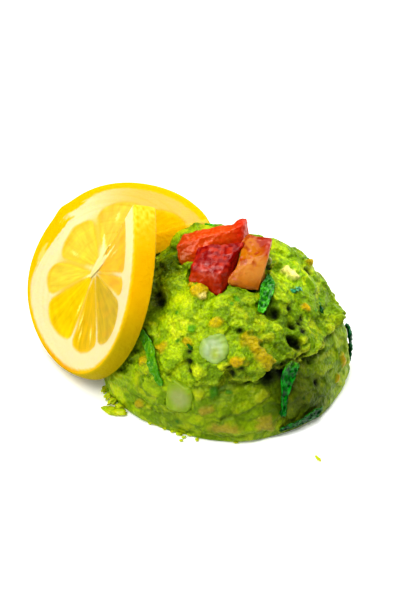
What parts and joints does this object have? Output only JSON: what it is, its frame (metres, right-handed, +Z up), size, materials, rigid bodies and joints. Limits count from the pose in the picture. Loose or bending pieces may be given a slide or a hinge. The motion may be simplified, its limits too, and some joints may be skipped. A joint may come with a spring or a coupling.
{
  "type": "guacamole",
  "caption": "Moulded mound of chunky guacamole topped with diced tomato, with onion and cilantro in the mash and a slit, bent lemon slice leaning on one side.",
  "frame": {"origin": "middle of the mound's flat base, on the surface it rests on", "axes": "+Z up, +X to the eater's right, -Y towards the eater; the lemon slice leans on the mound's left, at -X"},
  "size_m": [0.0946, 0.0754, 0.0545],
  "materials": {
    "guacamole": "wet coarse avocado mash",
    "lemon": "juicy cut citrus with a waxy zest",
    "tomato": "wet cut tomato",
    "onion": "translucent raw onion",
    "cilantro": "wet leaf"
  },
  "bodies": {
    "root": {"guacamole": "guacamole", "lemon_slice": "lemon", "tomato_1": "tomato", "tomato_2": "tomato", "tomato_3": "tomato", "onion_1": "onion", "onion_2": "onion", "cilantro_1": "cilantro", "cilantro_2": "cilantro", "cilantro_3": "cilantro", "cilantro_4": "cilantro", "cilantro_5": "cilantro"}
  },
  "joints": []
}
